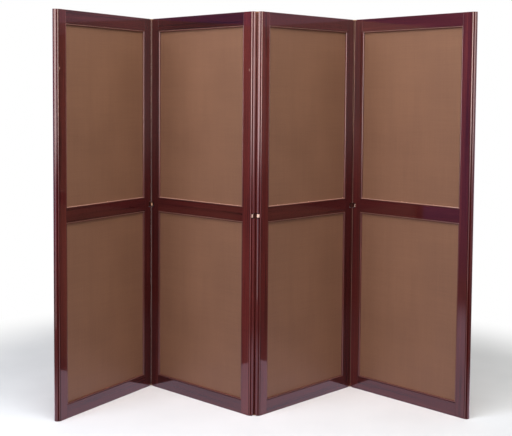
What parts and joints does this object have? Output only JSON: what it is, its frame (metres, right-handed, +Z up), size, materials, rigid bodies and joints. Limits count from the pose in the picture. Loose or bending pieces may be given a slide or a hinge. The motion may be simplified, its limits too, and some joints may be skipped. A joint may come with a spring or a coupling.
{
  "type": "folding screen",
  "caption": "Hinged folding screen: mahogany frames with round beaded edges, plain brown cloth infills above and below a middle rail, and brass pivot links in the folds.",
  "frame": {"origin": "middle of the footprint, on the floor", "axes": "+Z up, -Y the front, +X to the right along the line of the screen"},
  "size_m": [1.8711, 0.558, 1.83],
  "materials": {
    "mahogany": "dark red mahogany, French polished to a gloss",
    "cloth": "plain matt brown cloth, close weave, stretched",
    "board": "plain sawn softwood board",
    "brass": "worn polished brass"
  },
  "bodies": {
    "panel_1": {"p1_left_stile": "mahogany", "p1_right_stile": "mahogany", "p1_top_rail": "mahogany", "p1_mid_rail": "mahogany", "p1_bottom_rail": "mahogany", "p1_boards": "board", "p1_upper_cloth": "cloth", "p1_lower_cloth": "cloth", "p1_front_slips": "mahogany", "p1_back_slips": "mahogany", "p1_hinge_brackets": "brass", "p1_hinge_pins": "brass", "p1_hinge_screws": "brass"},
    "panel_2": {"p2_left_stile": "mahogany", "p2_right_stile": "mahogany", "p2_top_rail": "mahogany", "p2_mid_rail": "mahogany", "p2_bottom_rail": "mahogany", "p2_boards": "board", "p2_upper_cloth": "cloth", "p2_lower_cloth": "cloth", "p2_front_slips": "mahogany", "p2_back_slips": "mahogany", "p2_hinge_brackets": "brass", "p2_hinge_pins": "brass", "p2_hinge_screws": "brass"},
    "panel_3": {"p3_left_stile": "mahogany", "p3_right_stile": "mahogany", "p3_top_rail": "mahogany", "p3_mid_rail": "mahogany", "p3_bottom_rail": "mahogany", "p3_boards": "board", "p3_upper_cloth": "cloth", "p3_lower_cloth": "cloth", "p3_front_slips": "mahogany", "p3_back_slips": "mahogany", "p3_hinge_brackets": "brass", "p3_hinge_pins": "brass", "p3_hinge_screws": "brass"},
    "panel_4": {"p4_left_stile": "mahogany", "p4_right_stile": "mahogany", "p4_top_rail": "mahogany", "p4_mid_rail": "mahogany", "p4_bottom_rail": "mahogany", "p4_boards": "board", "p4_upper_cloth": "cloth", "p4_lower_cloth": "cloth", "p4_front_slips": "mahogany", "p4_back_slips": "mahogany", "p4_hinge_brackets": "brass", "p4_hinge_pins": "brass", "p4_hinge_screws": "brass"},
    "link_12": {"mid_link_12": "brass", "end_links_12": "brass"},
    "link_23": {"mid_link_23": "brass", "end_links_23": "brass"},
    "link_34": {"mid_link_34": "brass", "end_links_34": "brass"}
  },
  "joints": [
    {"name": "fold_12", "type": "hinge", "parent": "panel_2", "child": "link_12", "pos_m": [-0.52151, 0.263, 0.915], "axis": [0, 0, 1], "range_deg": [-49, 41]},
    {"name": "fold_12_outer", "type": "hinge", "parent": "link_12", "child": "panel_1", "pos_m": [-0.55373, 0.25962, 0.915], "axis": [0, 0, 1], "range_deg": [-49, 41]},
    {"name": "fold_23", "type": "hinge", "parent": "link_23", "child": "panel_2", "pos_m": [-0.05491, -0.17211, 0.915], "axis": [0, 0, -1], "range_deg": [-43, 47]},
    {"name": "fold_23_outer", "type": "hinge", "parent": "link_23", "child": "panel_3", "pos_m": [-0.02251, -0.17211, 0.915], "axis": [0, 0, 1], "range_deg": [-43, 47]},
    {"name": "fold_34", "type": "hinge", "parent": "panel_3", "child": "link_34", "pos_m": [0.4441, 0.263, 0.915], "axis": [0, 0, -1], "range_deg": [-44.5, 45.5]},
    {"name": "fold_34_outer", "type": "hinge", "parent": "link_34", "child": "panel_4", "pos_m": [0.47648, 0.26216, 0.915], "axis": [0, 0, -1], "range_deg": [-44.5, 45.5]}
  ],
  "couplings": [
    {"joint": "fold_12_outer", "follows": "fold_12", "ratio": 1},
    {"joint": "fold_23_outer", "follows": "fold_23", "ratio": 1},
    {"joint": "fold_34_outer", "follows": "fold_34", "ratio": 1}
  ]
}
